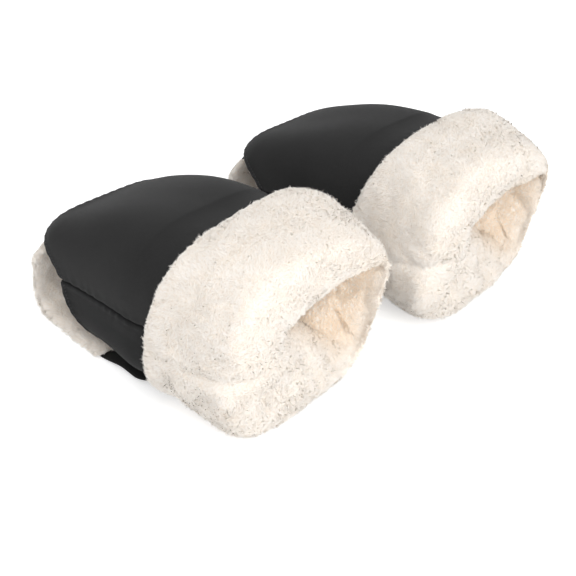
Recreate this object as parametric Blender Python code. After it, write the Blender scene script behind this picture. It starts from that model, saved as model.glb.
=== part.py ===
"""A pair of padded hand muffs for a stroller's handlebar.

Each muff is a quilted bag: a smooth outer shell of two panels, a layer of wadding, a plush
lining, and a thick plush cuff turned back over the mouth. A lined flap hangs from the back
fold, wraps under the handlebar and closes with two snaps on the bottom panel.

World axes in metres: +X along the handlebar, -Y towards the hand openings, +Z up. The muffs
lie on the flat undersides of their flaps and cuffs. Inside one muff, "along" is the distance
from its back edge towards the mouth, and heights are counted from the plane it lies on.
"""
import math

import bpy
import bmesh
import numpy as np

# The pair
MUFF_SPACING = 0.267
SIDES = (("left", -1), ("right", 1))

# Shell, outer size at its back, at its fullest and at its mouth
BACK_HALF_WIDTH = 0.088
PUFF_HALF_WIDTH = 0.099
MOUTH_HALF_WIDTH = 0.092
BACK_TOP = 0.1005
PUFF_TOP = 0.170
MOUTH_TOP = 0.190
BACK_BOTTOM = 0.0140
PUFF_BOTTOM = 0.0140
MOUTH_BOTTOM = 0.0130
BACK_SEAM = 0.0520
PUFF_SEAM = 0.0880
MOUTH_SEAM = 0.1050
FLAT_END = 0.155
ROUND_AT = 0.205
PUFF_AT = 0.148
MOUTH_AT = 0.235
CORNER_RADIUS = 0.022
FOLD_RADIUS = 0.010
BACK_TOP_POWER_SHARE = 6.5
BACK_BOTTOM_POWER_SHARE = 6.0
MOUTH_POWER_SHARE = 2.6

# Layers, from the outside in
FIT_GAP = 0.0003
SHELL_THICKNESS = 0.0012
POST_ROOM = 0.0016
BACK_WADDING = 0.0060
BACK_LINING = 0.0082
MOUTH_WADDING_TOP = 0.0290
MOUTH_LINING_TOP = 0.0160
MOUTH_WADDING_BOTTOM = 0.0330
MOUTH_LINING_BOTTOM = 0.0180
MOUTH_WADDING_SIDE = 0.0070
MOUTH_LINING_SIDE = 0.0085
MOUTH_WADDING = (MOUTH_WADDING_SIDE, MOUTH_WADDING_TOP, MOUTH_WADDING_BOTTOM)
MOUTH_LINING = (MOUTH_LINING_SIDE, MOUTH_LINING_TOP, MOUTH_LINING_BOTTOM)
SHELL_END = 0.268
LINING_END = 0.248

# Passage for the handlebar
SKIRT_START = 0.055
SKIRT_DROP = 0.050
EDGE_END = 0.135
EDGE_RUN = 0.110

# Cuff
CUFF_START = 0.184
CUFF_START_LEAN = 0.011
CUFF_END = 0.290
CUFF_END_LEAN = 0.002
CUFF_THICKNESS = 0.0125
CUFF_EDGE_ROUND = 0.006
CUFF_SEAT = 0.0008
CUFF_NOSE_ROUND = 0.013
CUFF_LIP_SHARE = 0.40
CUFF_OUTSIDE_SHARES = ((0.35, 1.096), (0.68, 1.06))
CUFF_NOSE_SHARES = ((0.75, 0.06), (0.15, 0.20), (0.0, 0.40), (0.12, 0.66), (0.75, 0.94))

# Flap, whose outer face follows this route from the back fold, round under the handlebar
FLAP_ROUTE = (
    (0.0, 0.0886),
    (0.0, 0.0720),
    (0.0004, 0.0500),
    (0.0022, 0.0300),
    (0.0085, 0.0115),
    (0.0200, 0.0016),
    (0.0320, 0.0),
    (0.0880, 0.0),
    (0.1050, 0.0014),
    (0.1200, 0.0052),
    (0.1330, 0.0088),
    (0.1440, 0.0092),
    (0.1680, 0.0092),
)
FLAP_TOP_HALF_WIDTH = 0.046
FLAP_HALF_WIDTH = 0.082
FLAP_WIDENING = 0.030
FLAP_CORNER = 0.018
FLAP_FLEECE = 0.0080

# Snaps
SNAP_SPREAD = 0.038
SNAP_AT = 0.152
SNAP_RADIUS = 0.0060
SNAP_CAP_THICKNESS = 0.0015
SNAP_CAP_ROUND = 0.0006
SNAP_POST_RADIUS = 0.0013
SNAP_HOLE_RADIUS = 0.0016
SNAP_SOCKET_HEIGHT = 0.0020
SNAP_SOCKET_BORE = 0.0042
SNAP_SOCKET_FLOOR = 0.0005
SNAP_BASE_THICKNESS = 0.0008
SNAP_PIN_RADIUS = 0.0025
SNAP_PIN_HEIGHT = 0.0015
SNAP_PLATE_RADIUS = 0.0048
SNAP_PLATE_THICKNESS = 0.0008
CUT_OVERRUN = 0.002

# Mesh density. Every layer has its rows of points at the same places along the muff
HALF_COLUMNS = 12
SETTLED_AT = 0.150
BACK_ROW_SHARES = (0.0, 0.05, 0.147, 0.33, 0.54, 0.76)
PADDING_SKIPPED_ROWS = 2
FRONT_ROW_SHARES = (0.0, 0.16, 0.31, 0.46, 0.635)
FLAP_COLUMNS = 6
FLAP_ROWS = 16
FLEECE_ROWS = (1, 12)
SECTION_SAMPLES = 240
FLAP_SAMPLES = 12
SNAP_SIDES = 12
HOLE_SIDES = 8

# The origin lies midway between the flap's back and the cuffs' noses
BACK_Y = (CUFF_END + CUFF_END_LEAN) / 2

COLORS = {
    "shell": ((0.040, 0.040, 0.041, 1.0), 0.62, 0.0),
    "fleece": ((0.880, 0.800, 0.700, 1.0), 0.95, 0.0),
    "wadding": ((0.820, 0.820, 0.800, 1.0), 0.95, 0.0),
    "snap": ((0.020, 0.020, 0.022, 1.0), 0.30, 0.0),
    "snap_metal": ((0.560, 0.560, 0.570, 1.0), 0.28, 1.0),
}


def clear_scene():
    for thing in list(bpy.data.objects):
        bpy.data.objects.remove(thing, do_unlink=True)


def new_collection(name):
    group = bpy.data.collections.new(name)
    bpy.context.scene.collection.children.link(group)
    return group


def new_material(name):
    color, roughness, metallic = COLORS[name]
    material = bpy.data.materials.new(name)
    material.use_nodes = True
    shader = material.node_tree.nodes["Principled BSDF"]
    shader.inputs["Base Color"].default_value = color
    shader.inputs["Roughness"].default_value = roughness
    shader.inputs["Metallic"].default_value = metallic
    material.diffuse_color = color
    return material


def ease(value, low, high):
    """0 before low, 1 after high, smooth between."""
    share = min(max((value - low) / (high - low), 0.0), 1.0)
    return share * share * (3 - 2 * share)


def swell(value, high):
    """Rises almost straight from 0 and lands softly on 1 at high."""
    share = min(max(value / high, 0.0), 1.0)
    return (share + math.sin(math.pi / 2 * share)) / 2


def mix(first, second, share):
    return first + (second - first) * share


def shell_size(along):
    """The shell's outer half width, top, bottom, seam height and two powers at one place."""
    puff = swell(along, PUFF_AT)
    mouth = ease(along, PUFF_AT, MOUTH_AT)
    lower = ease(along, FLAT_END, ROUND_AT)
    half_width = mix(mix(BACK_HALF_WIDTH, PUFF_HALF_WIDTH, puff), MOUTH_HALF_WIDTH, mouth)
    top = mix(mix(BACK_TOP, PUFF_TOP, puff), MOUTH_TOP, mouth)
    bottom = mix(BACK_BOTTOM, mix(PUFF_BOTTOM, MOUTH_BOTTOM, mouth), lower)
    seam = mix(mix(BACK_SEAM, PUFF_SEAM, puff), MOUTH_SEAM, mouth)
    if along < CORNER_RADIUS:
        short = CORNER_RADIUS - max(along, 0.0)
        half_width -= CORNER_RADIUS - math.sqrt(CORNER_RADIUS ** 2 - short ** 2)
    if along < FOLD_RADIUS:
        short = FOLD_RADIUS - max(along, 0.0)
        top -= FOLD_RADIUS - math.sqrt(FOLD_RADIUS ** 2 - short ** 2)
    top_power = mix(BACK_TOP_POWER_SHARE, MOUTH_POWER_SHARE, puff)
    bottom_power = mix(BACK_BOTTOM_POWER_SHARE, MOUTH_POWER_SHARE, lower)
    return half_width, top, bottom, seam, top_power, bottom_power


def half_section(along, upper, inset):
    """A dense line over the upper or under the lower half of the section, right to left.

    inset holds how far it lies inside the shell's outer face at the sides, top and bottom.
    """
    half_width, top, bottom, seam, top_power, bottom_power = shell_size(along)
    side_inset, top_inset, bottom_inset = inset
    half_width -= side_inset
    power = top_power if upper else bottom_power
    rise = top - top_inset - seam if upper else bottom + bottom_inset - seam
    angles = np.linspace(0.0, math.pi, SECTION_SAMPLES)
    across = np.cos(angles)
    over = np.sin(angles)
    x = half_width * np.sign(across) * np.abs(across) ** (2 / power)
    z = seam + rise * np.abs(over) ** (2 / power)
    return np.stack([x, z], 1)


def pick(line, share):
    """The point at a share of the line's length."""
    steps = np.linalg.norm(np.diff(line, axis=0), axis=1)
    length = np.concatenate([[0.0], np.cumsum(steps)])
    target = share * length[-1]
    return np.array([np.interp(target, length, line[:, 0]), np.interp(target, length, line[:, 1])])


def line_length(line):
    return float(np.linalg.norm(np.diff(line, axis=0), axis=1).sum())


def wall(along):
    """The wadding's and the lining's thickness at the side, top and bottom, at one place."""
    share = ease(along, SKIRT_START, LINING_END)
    wadding = [mix(BACK_WADDING, thickness, share) for thickness in MOUTH_WADDING]
    lining = [mix(BACK_LINING, thickness, share) for thickness in MOUTH_LINING]
    return wadding, lining


def layer_inset(layer, face, upper):
    """A function of the place along the muff that gives one face's inset."""
    room = FIT_GAP if upper else POST_ROOM

    def inset(along):
        depths = []
        for wadding, lining in zip(*wall(along)):
            start = SHELL_THICKNESS + room
            middle = start + wadding
            depths.append({
                ("shell", "outer"): 0.0,
                ("shell", "inner"): SHELL_THICKNESS,
                ("wadding", "outer"): start,
                ("wadding", "inner"): middle,
                ("lining", "outer"): middle + FIT_GAP,
                ("lining", "inner"): middle + FIT_GAP + lining,
            }[layer, face])
        return depths
    return inset


def close_grids(outer, inner):
    """A closed mesh between two grids of points, with its faces pointing out."""
    rows = len(outer)
    columns = len(outer[0])
    mesh = bmesh.new()
    skins = []
    for grid in (outer, inner):
        skins.append([[mesh.verts.new(point) for point in row] for row in grid])
    front, back = skins
    for i in range(rows - 1):
        for j in range(columns - 1):
            mesh.faces.new((front[i][j], front[i + 1][j], front[i + 1][j + 1], front[i][j + 1]))
            mesh.faces.new((back[i][j], back[i][j + 1], back[i + 1][j + 1], back[i + 1][j]))
    for j in range(columns - 1):
        mesh.faces.new((front[0][j], front[0][j + 1], back[0][j + 1], back[0][j]))
        mesh.faces.new((front[-1][j], back[-1][j], back[-1][j + 1], front[-1][j + 1]))
    for i in range(rows - 1):
        mesh.faces.new((front[i][0], back[i][0], back[i + 1][0], front[i + 1][0]))
        mesh.faces.new((front[i][-1], front[i + 1][-1], back[i + 1][-1], back[i][-1]))
    bmesh.ops.recalc_face_normals(mesh, faces=mesh.faces)
    return mesh


def ring_mesh(rings):
    """A closed mesh round a loop of closed profiles."""
    mesh = bmesh.new()
    verts = [[mesh.verts.new(point) for point in ring] for ring in rings]
    count = len(verts)
    for i in range(count):
        here = verts[i]
        after = verts[(i + 1) % count]
        size = len(here)
        for j in range(size):
            nxt = (j + 1) % size
            mesh.faces.new((here[j], after[j], after[nxt], here[nxt]))
    bmesh.ops.recalc_face_normals(mesh, faces=mesh.faces)
    return mesh


def add_object(name, mesh, place, group, material):
    data = bpy.data.meshes.new(name)
    bmesh.ops.triangulate(mesh, faces=mesh.faces)
    mesh.to_mesh(data)
    mesh.free()
    data.shade_smooth()
    data.materials.append(material)
    thing = bpy.data.objects.new(name, data)
    thing.location = place
    group.objects.link(thing)
    return thing


def row_places(start, front):
    """The places of a layer's rows, from its own back edge to its own front."""
    places = [mix(start, SETTLED_AT, share) for share in BACK_ROW_SHARES]
    places += [place for place in shell_rows() if place < front - FIT_GAP]
    places.append(front)
    return places


def shell_rows():
    """The rows that all layers share, and the lining's end."""
    rows = [mix(SETTLED_AT, SHELL_END, share) for share in FRONT_ROW_SHARES]
    return rows + [LINING_END]


def panel(layer, upper, back_at, front):
    """One half of a layer: its outer and inner grids, closed into a solid.

    The padding starts a few rows inside the shell's hemmed back edge.
    """
    grids = []
    first_row = 0 if layer == "shell" else PADDING_SKIPPED_ROWS
    gap_share = FIT_GAP / 2 / line_length(half_section(PUFF_AT, upper, (0.0, 0.0, 0.0)))
    columns = []
    for j in range(HALF_COLUMNS + 1):
        share = mix(gap_share, 1 - gap_share, j / HALF_COLUMNS)
        columns.append((share, row_places(back_at(share), front)[first_row:]))
    for face in ("outer", "inner"):
        inset = layer_inset(layer, face, upper)
        grid = []
        for i in range(len(columns[0][1])):
            line = []
            for share, places in columns:
                along = places[i]
                x, z = pick(half_section(along, upper, inset(along)), share)
                line.append((x, -along, z))
            grid.append(line)
        grids.append(grid)
    return close_grids(grids[0], grids[1])


def edge_distance(share, upper):
    """How far a column lies from the nearer side seam, over the section's line."""
    length = line_length(half_section(SKIRT_START, upper, (0.0, 0.0, 0.0)))
    return min(share, 1 - share) * length


def top_back(share):
    """The top panel's back edge: the skirt runs up and back from the side seam to the fold."""
    distance = edge_distance(share, True)
    return SKIRT_START * max(0.0, 1 - distance / SKIRT_DROP)


def bottom_back(share):
    """The bottom panel's back edge, which curves forward under the handlebar."""
    distance = min(edge_distance(share, False) / EDGE_RUN, 1.0)
    return mix(SKIRT_START, EDGE_END, (1 - math.cos(math.pi * distance)) / 2)


def flap_line():
    """A smooth line through the flap's route, as places along and heights.

    Spans that run straight down or straight along stay straight.
    """
    route = np.array(FLAP_ROUTE)
    steps = np.linalg.norm(np.diff(route, axis=0), axis=1)
    knots = np.concatenate([[0.0], np.cumsum(steps)])
    slopes = np.gradient(route, knots, axis=0)
    for i, level in enumerate(np.diff(route, axis=0) == 0):
        slopes[i:i + 2, level] = 0.0
    line = []
    for i in range(len(route) - 1):
        span = knots[i + 1] - knots[i]
        for t in np.linspace(0.0, 1.0, FLAP_SAMPLES, endpoint=False):
            line.append(
                route[i] * (2 * t ** 3 - 3 * t ** 2 + 1)
                + slopes[i] * span * (t ** 3 - 2 * t ** 2 + t)
                + route[i + 1] * (3 * t ** 2 - 2 * t ** 3)
                + slopes[i + 1] * span * (t ** 3 - t ** 2)
            )
    line.append(route[-1])
    return np.array(line)


def flap_half_width(distance, length):
    """The flap widens below the back fold and has rounded front corners."""
    half_width = mix(FLAP_TOP_HALF_WIDTH, FLAP_HALF_WIDTH, ease(distance, 0.0, FLAP_WIDENING))
    left = length - distance
    if left < FLAP_CORNER:
        short = FLAP_CORNER - left
        half_width -= FLAP_CORNER - math.sqrt(max(FLAP_CORNER ** 2 - short ** 2, 0.0))
    return half_width


def flap_layer(outer_depth, inner_depth, first_row, last_row, side_room):
    """A layer of the flap between two depths from its outer face, over some of its rows."""
    line = flap_line()
    steps = np.linalg.norm(np.diff(line, axis=0), axis=1)
    knots = np.concatenate([[0.0], np.cumsum(steps)])
    length = knots[-1]
    tangents = np.gradient(line, knots, axis=0)
    grids = []
    for depth in (outer_depth, inner_depth):
        grid = []
        for i in range(first_row, last_row + 1):
            distance = length * i / FLAP_ROWS
            along = np.interp(distance, knots, line[:, 0])
            height = np.interp(distance, knots, line[:, 1])
            run = np.interp(distance, knots, tangents[:, 0])
            rise = np.interp(distance, knots, tangents[:, 1])
            size = math.hypot(run, rise)
            along += -rise / size * depth
            height += run / size * depth
            half_width = flap_half_width(distance, length) - side_room
            row = []
            for j in range(FLAP_COLUMNS + 1):
                row.append((half_width * (2 * j / FLAP_COLUMNS - 1), -along, height))
            grid.append(row)
        grids.append(grid)
    return close_grids(grids[0], grids[1])


def cuff_profile(angle):
    """The cuff's closed profile at one angle round the mouth, as points in the muff."""
    lift = math.sin(angle)
    start = CUFF_START + CUFF_START_LEAN * max(lift, 0.0)
    end = CUFF_END + CUFF_END_LEAN * lift
    wadding, lining = wall(LINING_END)
    far = 1 if lift > 0 else 2
    padding = mix(wadding[0], wadding[far], abs(lift))
    plush = mix(lining[0], lining[far], abs(lift))
    inner = SHELL_THICKNESS + POST_ROOM + FIT_GAP + padding + plush
    lip = inner - plush / 2
    slot_end = SHELL_END + FIT_GAP
    lip_start = LINING_END + FIT_GAP
    seats = shell_rows()[-3:]
    seats = [(start + seats[0]) / 2] + seats
    outside = [
        (mix(start, end, place), -CUFF_THICKNESS * swelling)
        for place, swelling in CUFF_OUTSIDE_SHARES
    ]
    nose = [
        (end - CUFF_NOSE_ROUND * back, mix(-CUFF_THICKNESS, inner, deep))
        for back, deep in CUFF_NOSE_SHARES
    ]
    return (
        (start, -CUFF_SEAT),
        (start - CUFF_EDGE_ROUND / 3, -CUFF_THICKNESS / 2),
        (start + CUFF_EDGE_ROUND / 2, -CUFF_THICKNESS),
        *outside,
        *nose,
        (mix(lip_start, end, CUFF_LIP_SHARE), inner),
        (lip_start, inner),
        (lip_start, lip),
        (slot_end, lip),
        (slot_end, (inner - CUFF_THICKNESS) / 2),
        (slot_end, -CUFF_SEAT),
        *[(place, -CUFF_SEAT) for place in reversed(seats)],
    )


def cuff():
    rings = []
    columns = 2 * HALF_COLUMNS
    for i in range(columns):
        angle = 2 * math.pi * i / columns
        ring = []
        for along, depth in cuff_profile(angle):
            ring.append(section_point(along, angle, depth))
        rings.append(ring)
    return ring_mesh(rings)


def section_point(along, angle, depth):
    """A point of the whole section at an angle from the right seam, depth inside the shell."""
    upper = math.sin(angle) >= 0
    share = angle / math.pi if upper else 2 - angle / math.pi
    line = half_section(min(along, MOUTH_AT), upper, (depth, depth, depth))
    x, z = pick(line, share)
    return (x, -along, max(z, 0.0))


def disc(radius, thickness, sides):
    """A cylinder that stands on the plane z = 0."""
    mesh = bmesh.new()
    bmesh.ops.create_cone(
        mesh, cap_ends=True, segments=sides, radius1=radius, radius2=radius, depth=thickness
    )
    bmesh.ops.translate(mesh, verts=mesh.verts, vec=(0.0, 0.0, thickness / 2))
    return mesh


def turned(profile):
    """A solid turned from a closed profile of radii and heights, both ends on the axis or not."""
    on_axis = profile[0][0] == 0.0
    mesh = bmesh.new()
    rings = []
    for radius, height in profile:
        if radius == 0.0:
            rings.append([mesh.verts.new((0.0, 0.0, height))])
            continue
        ring = []
        for i in range(SNAP_SIDES):
            angle = 2 * math.pi * i / SNAP_SIDES
            ring.append(mesh.verts.new((radius * math.cos(angle), radius * math.sin(angle), height)))
        rings.append(ring)
    pairs = list(zip(rings, rings[1:]))
    if not on_axis:
        pairs.append((rings[-1], rings[0]))
    for lower, upper in pairs:
        for i in range(SNAP_SIDES):
            nxt = (i + 1) % SNAP_SIDES
            if len(lower) == 1:
                mesh.faces.new((lower[0], upper[i], upper[nxt]))
            elif len(upper) == 1:
                mesh.faces.new((lower[i], lower[nxt], upper[0]))
            else:
                mesh.faces.new((lower[i], lower[nxt], upper[nxt], upper[i]))
    bmesh.ops.recalc_face_normals(mesh, faces=mesh.faces)
    return mesh


def cut_hole(thing, place, low, high, cutters):
    """Cuts a round hole through a layer, upright, between two heights."""
    mesh = disc(SNAP_HOLE_RADIUS, high - low, HOLE_SIDES)
    data = bpy.data.meshes.new(thing.name + "_cutter")
    mesh.to_mesh(data)
    mesh.free()
    cutter = bpy.data.objects.new(thing.name + "_cutter", data)
    cutter.location = (place[0], place[1], low)
    cutter.hide_render = True
    cutter.display_type = "WIRE"
    cutters.objects.link(cutter)
    modifier = thing.modifiers.new("hole", "BOOLEAN")
    modifier.operation = "DIFFERENCE"
    modifier.solver = "EXACT"
    modifier.object = cutter


def add_snaps(side, origin, group, cutters, materials, flap, bottom):
    """Two snaps that close the flap on the bottom panel."""
    flap_outer = FLAP_ROUTE[-1][1]
    flap_inner = flap_outer + SHELL_THICKNESS
    for number, sign in ((1, -1), (2, 1)):
        x = origin[0] + sign * SNAP_SPREAD
        y = origin[1] - SNAP_AT
        cap_low = flap_outer - FIT_GAP - SNAP_CAP_THICKNESS
        post_top = flap_inner + SNAP_SOCKET_FLOOR
        cap = turned((
            (0.0, 0.0),
            (SNAP_RADIUS - 2 * SNAP_CAP_ROUND, 0.0),
            (SNAP_RADIUS, SNAP_CAP_ROUND),
            (SNAP_RADIUS, SNAP_CAP_THICKNESS),
            (SNAP_POST_RADIUS, SNAP_CAP_THICKNESS),
            (SNAP_POST_RADIUS, post_top - cap_low),
            (0.0, post_top - cap_low),
        ))
        add_object(f"{side}_snap_cap_{number}", cap, (x, y, cap_low), group, materials["snap"])
        socket_low = flap_inner + FIT_GAP
        socket = turned((
            (SNAP_HOLE_RADIUS, 0.0),
            (SNAP_RADIUS, 0.0),
            (SNAP_RADIUS, SNAP_SOCKET_HEIGHT),
            (SNAP_SOCKET_BORE, SNAP_SOCKET_HEIGHT),
            (SNAP_SOCKET_BORE, SNAP_SOCKET_FLOOR),
            (SNAP_HOLE_RADIUS, SNAP_SOCKET_FLOOR),
        ))
        add_object(
            f"{side}_snap_socket_{number}", socket, (x, y, socket_low), group, materials["snap_metal"]
        )
        base_high = BACK_BOTTOM - FIT_GAP
        stud = turned((
            (0.0, 0.0),
            (SNAP_RADIUS, 0.0),
            (SNAP_RADIUS, -SNAP_BASE_THICKNESS),
            (SNAP_PIN_RADIUS, -SNAP_BASE_THICKNESS),
            (SNAP_PIN_RADIUS, -SNAP_BASE_THICKNESS - SNAP_PIN_HEIGHT),
            (0.0, -SNAP_BASE_THICKNESS - SNAP_PIN_HEIGHT),
        ))
        add_object(
            f"{side}_snap_stud_{number}", stud, (x, y, base_high), group, materials["snap_metal"]
        )
        plate_low = BACK_BOTTOM + SHELL_THICKNESS + FIT_GAP
        plate = turned((
            (0.0, BACK_BOTTOM - plate_low),
            (SNAP_POST_RADIUS, BACK_BOTTOM - plate_low),
            (SNAP_POST_RADIUS, 0.0),
            (SNAP_PLATE_RADIUS, 0.0),
            (SNAP_PLATE_RADIUS, SNAP_PLATE_THICKNESS),
            (0.0, SNAP_PLATE_THICKNESS),
        ))
        add_object(
            f"{side}_snap_plate_{number}", plate, (x, y, plate_low), group, materials["snap_metal"]
        )
        cut_hole(flap, (x, y), flap_outer - CUT_OVERRUN, flap_inner + CUT_OVERRUN, cutters)
        cut_hole(bottom, (x, y), BACK_BOTTOM - CUT_OVERRUN, plate_low + CUT_OVERRUN, cutters)


def add_muff(side, sign, group, cutters, materials):
    origin = (sign * MUFF_SPACING / 2, BACK_Y, 0.0)

    add_object(
        f"{side}_shell_top",
        panel("shell", True, top_back, SHELL_END),
        origin, group, materials["shell"],
    )
    bottom = add_object(
        f"{side}_shell_bottom",
        panel("shell", False, bottom_back, SHELL_END),
        origin, group, materials["shell"],
    )
    for layer, front in (("wadding", SHELL_END), ("lining", LINING_END)):
        material = materials["wadding" if layer == "wadding" else "fleece"]
        add_object(
            f"{side}_{layer}_top",
            panel(layer, True, top_back, front),
            origin, group, material,
        )
        add_object(
            f"{side}_{layer}_bottom",
            panel(layer, False, bottom_back, front),
            origin, group, material,
        )
    add_object(f"{side}_cuff", cuff(), origin, group, materials["fleece"])
    flap = add_object(
        f"{side}_flap_shell",
        flap_layer(0.0, SHELL_THICKNESS, 0, FLAP_ROWS, 0.0),
        origin, group, materials["shell"],
    )
    fleece_depth = SHELL_THICKNESS + FIT_GAP
    add_object(
        f"{side}_flap_fleece",
        flap_layer(
            fleece_depth, fleece_depth + FLAP_FLEECE,
            *FLEECE_ROWS, SHELL_THICKNESS,
        ),
        origin, group, materials["fleece"],
    )
    add_snaps(side, origin, group, cutters, materials, flap, bottom)


def main():
    clear_scene()
    group = new_collection("stroller_hand_muffs")
    cutters = new_collection("cutters")
    materials = {name: new_material(name) for name in COLORS}
    for side, sign in SIDES:
        add_muff(side, sign, group, cutters, materials)


main()
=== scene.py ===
"""Looks of a pair of padded hand muffs: softshell panels, plush cuffs and linings, lined flaps.

Lengths are in metres, in the CAD's frame: +X along the handlebar, -Y towards the hand openings,
+Z up. Inside one muff, "along" runs from its back edge towards the mouth, x is counted from the
muff's middle, and a point is written (x, along, z).
"""
import math

import bmesh
import bpy
import numpy as np
from mathutils import Matrix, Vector
from mathutils.kdtree import KDTree

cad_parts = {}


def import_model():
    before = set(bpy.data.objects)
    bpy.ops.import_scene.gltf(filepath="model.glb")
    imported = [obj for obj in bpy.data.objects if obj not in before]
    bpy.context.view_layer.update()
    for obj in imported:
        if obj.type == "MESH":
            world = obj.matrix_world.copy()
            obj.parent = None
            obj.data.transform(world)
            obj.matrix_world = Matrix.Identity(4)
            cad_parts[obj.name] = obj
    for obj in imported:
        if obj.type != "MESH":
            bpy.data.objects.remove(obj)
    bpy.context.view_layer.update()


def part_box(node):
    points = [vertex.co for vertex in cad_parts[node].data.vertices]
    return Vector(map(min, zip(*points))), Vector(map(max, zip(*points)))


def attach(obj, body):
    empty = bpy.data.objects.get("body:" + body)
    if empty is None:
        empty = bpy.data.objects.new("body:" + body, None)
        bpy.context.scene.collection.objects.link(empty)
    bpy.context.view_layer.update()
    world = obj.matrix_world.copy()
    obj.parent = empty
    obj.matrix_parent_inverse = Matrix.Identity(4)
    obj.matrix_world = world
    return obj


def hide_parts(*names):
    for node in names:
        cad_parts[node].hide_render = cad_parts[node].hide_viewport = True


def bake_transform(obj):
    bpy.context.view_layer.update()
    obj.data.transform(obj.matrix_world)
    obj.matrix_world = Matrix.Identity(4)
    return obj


# The pair, as in the CAD
SPACING = 0.267
BACK_Y = 0.146
MUFF_LENGTH = 0.292
HINGE_Z = 0.0886
SIDES = (("left", -1, 11), ("right", 1, 47))  # name, side of the middle, random seed

# The shell's outer size at its back, its fattest part and its mouth, as in the CAD
HALF_WIDTHS = (0.0865, 0.099, 0.092)
TOPS = (0.1005, 0.170, 0.190)
SEAMS = (0.0520, 0.0880, 0.1050)
BACK_BOTTOM = 0.0140
MOUTH_BOTTOM = 0.0130
FLAT_END = 0.155
ROUND_AT = 0.205
PUFF_AT = 0.148
MOUTH_AT = 0.235
CORNER_RADIUS = 0.032
FOLD_RADIUS = 0.010
BACK_TOP_POWER = 4.4
BACK_BOTTOM_POWER = 4.6
MOUTH_POWER = 2.6
SKIRT_START = 0.055
SKIRT_DROP = 0.050
EDGE_END = 0.135
EDGE_RUN = 0.110
LAYERS_END = 0.222
LINING_END = 0.248
CLOTH = 0.0012
GAP = 0.0003
POST_ROOM = 0.0016

# How finely the shell is measured and built, and how much its columns crowd at the seams
SECTION_SAMPLES = 481
PLACES = 293
SHELL_GRID = (150, 190)
CROWDING = 0.88

# The shell's relief: waves, puckers and a groove at the side seams, gathers at the cuff
SHELL_WAVE = 0.0011
SHELL_WAVELENGTH = 0.090
SHELL_CALM = 0.020
PUCKER = 0.00060
PUCKER_PITCH = 0.0125
PUCKER_REACH = 0.0045
SEAM_GROOVE = 0.0016
SEAM_GROOVE_WIDTH = 0.0009
SEAM_RIDGE = 0.0003
SEAM_RIDGE_OFF = 0.0035
SEAM_RIDGE_WIDTH = 0.002
GATHER = 0.0007
GATHER_WIDTH = 0.016
GATHER_SPAN = (0.165, 0.205)

# Hems and stitches
HEM = 0.0085
HEM_STEP = 0.0007
HEM_SLOPE = 0.0012
HEM_ROUND = 0.0015
HEM_WAVE = 0.00025
HEM_WAVELENGTH = 0.0105
STITCH_GROOVE = 0.0006
STITCH_GROOVE_WIDTH = 0.0007
STITCH_LINE = 0.0070
STITCH_PITCH = 0.0034
STITCH_LENGTH = 0.0025
THREAD_RADIUS = 0.00026

# Padding, thickness at the sides, top and bottom
BACK_WADDING = 0.0060
MOUTH_WADDING = (0.0070, 0.0290, 0.0330)
BACK_LINING = 0.0082
MOUTH_LINING = (0.0085, 0.0160, 0.0180)
PADDING_BACK = 0.014
PAD_GRID = (64, 96)
PAD_RIM = 0.0012  # share of the section left free at each seam

# Cuff, whose cloth lies under a few millimetres of pile
CUFF_START = 0.186
CUFF_START_LEAN = 0.011
CUFF_END = 0.2865
CUFF_END_LEAN = 0.002
CUFF_THICKNESS = 0.0105
CUFF_ANGLES = 180
CUFF_DEGREES = 360.0 * np.arange(CUFF_ANGLES) / CUFF_ANGLES
CUFF_STEPS = 96
CUFF_LOWEST = 0.0022
PUFF_MOST = 0.0035
PUFF_FRAMES = 20

# The mouth's edge as seen from the front: angle in degrees, x, along, z
MOUTH_EDGE = (
    (0, 0.0930, 0.280, 0.108), (25, 0.0915, 0.284, 0.1430), (45, 0.0710, 0.286, 0.1530),
    (65, 0.0490, 0.287, 0.1550), (90, 0.0280, 0.285, 0.1540), (120, 0.0080, 0.281, 0.1450),
    (150, -0.0070, 0.274, 0.1320), (180, -0.0160, 0.267, 0.1200), (205, -0.0080, 0.266, 0.1050),
    (230, 0.0080, 0.269, 0.0870), (255, 0.0280, 0.271, 0.0680), (280, 0.0480, 0.273, 0.0510),
    (305, 0.0680, 0.276, 0.0440), (330, 0.0840, 0.278, 0.0560), (345, 0.0905, 0.279, 0.0800),
)

# How far the cuff turns in towards its mouth end, by angle in degrees
TURNED_IN = (
    (0, 0.0062), (22, 0.0050), (38, 0.0030), (56, 0.0048), (75, 0.0020), (110, 0.0), (180, 0.0),
    (250, 0.0008), (285, 0.0018), (312, 0.0055), (334, 0.0090), (348, 0.0088),
)

# Rings on the cuff's outside: share of the way forward, and how far they swell and crown
CUFF_RINGS = (
    (0.055, 0.96, 0.75), (0.22, 1.04, 1.0), (0.38, 1.10, 0.85), (0.56, 1.10, 0.55),
    (0.74, 1.06, 0.25),
)
CUFF_CROWN = 0.0065
BROW_BACK = 0.0125
# From the brow towards the lip: how far, at most which share of the way, and how far back
NOSES = ((0.0055, 0.24, 0.0036), (0.0165, 0.52, 0.0))
# Bulges of the face: share of the way from nose to lip, and height
FACE_BULGES = ((0.36, 0.0030), (0.70, 0.0042))
WIDE_FACE = 0.06

# The throat behind the mouth: middle x and z, half width and half height, and where it lies
THROAT = (0.022, 0.112, 0.050, 0.027)
THROAT_AT = 0.244

# The cuff's side seams run forward from one height to another, with a bulge below them
CUFF_SEAM_HEIGHTS = (0.080, 0.100)
CUFF_SEAM_START = 0.184
CUFF_SEAM_RUN = 0.11
CUFF_SEAM_WIDTH = 0.006
CUFF_SEAM_DEPTH = 0.0034
BULGE_BELOW = 0.024
BULGE_WIDTH = 0.014
BULGE_HEIGHT = 0.0016

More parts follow.
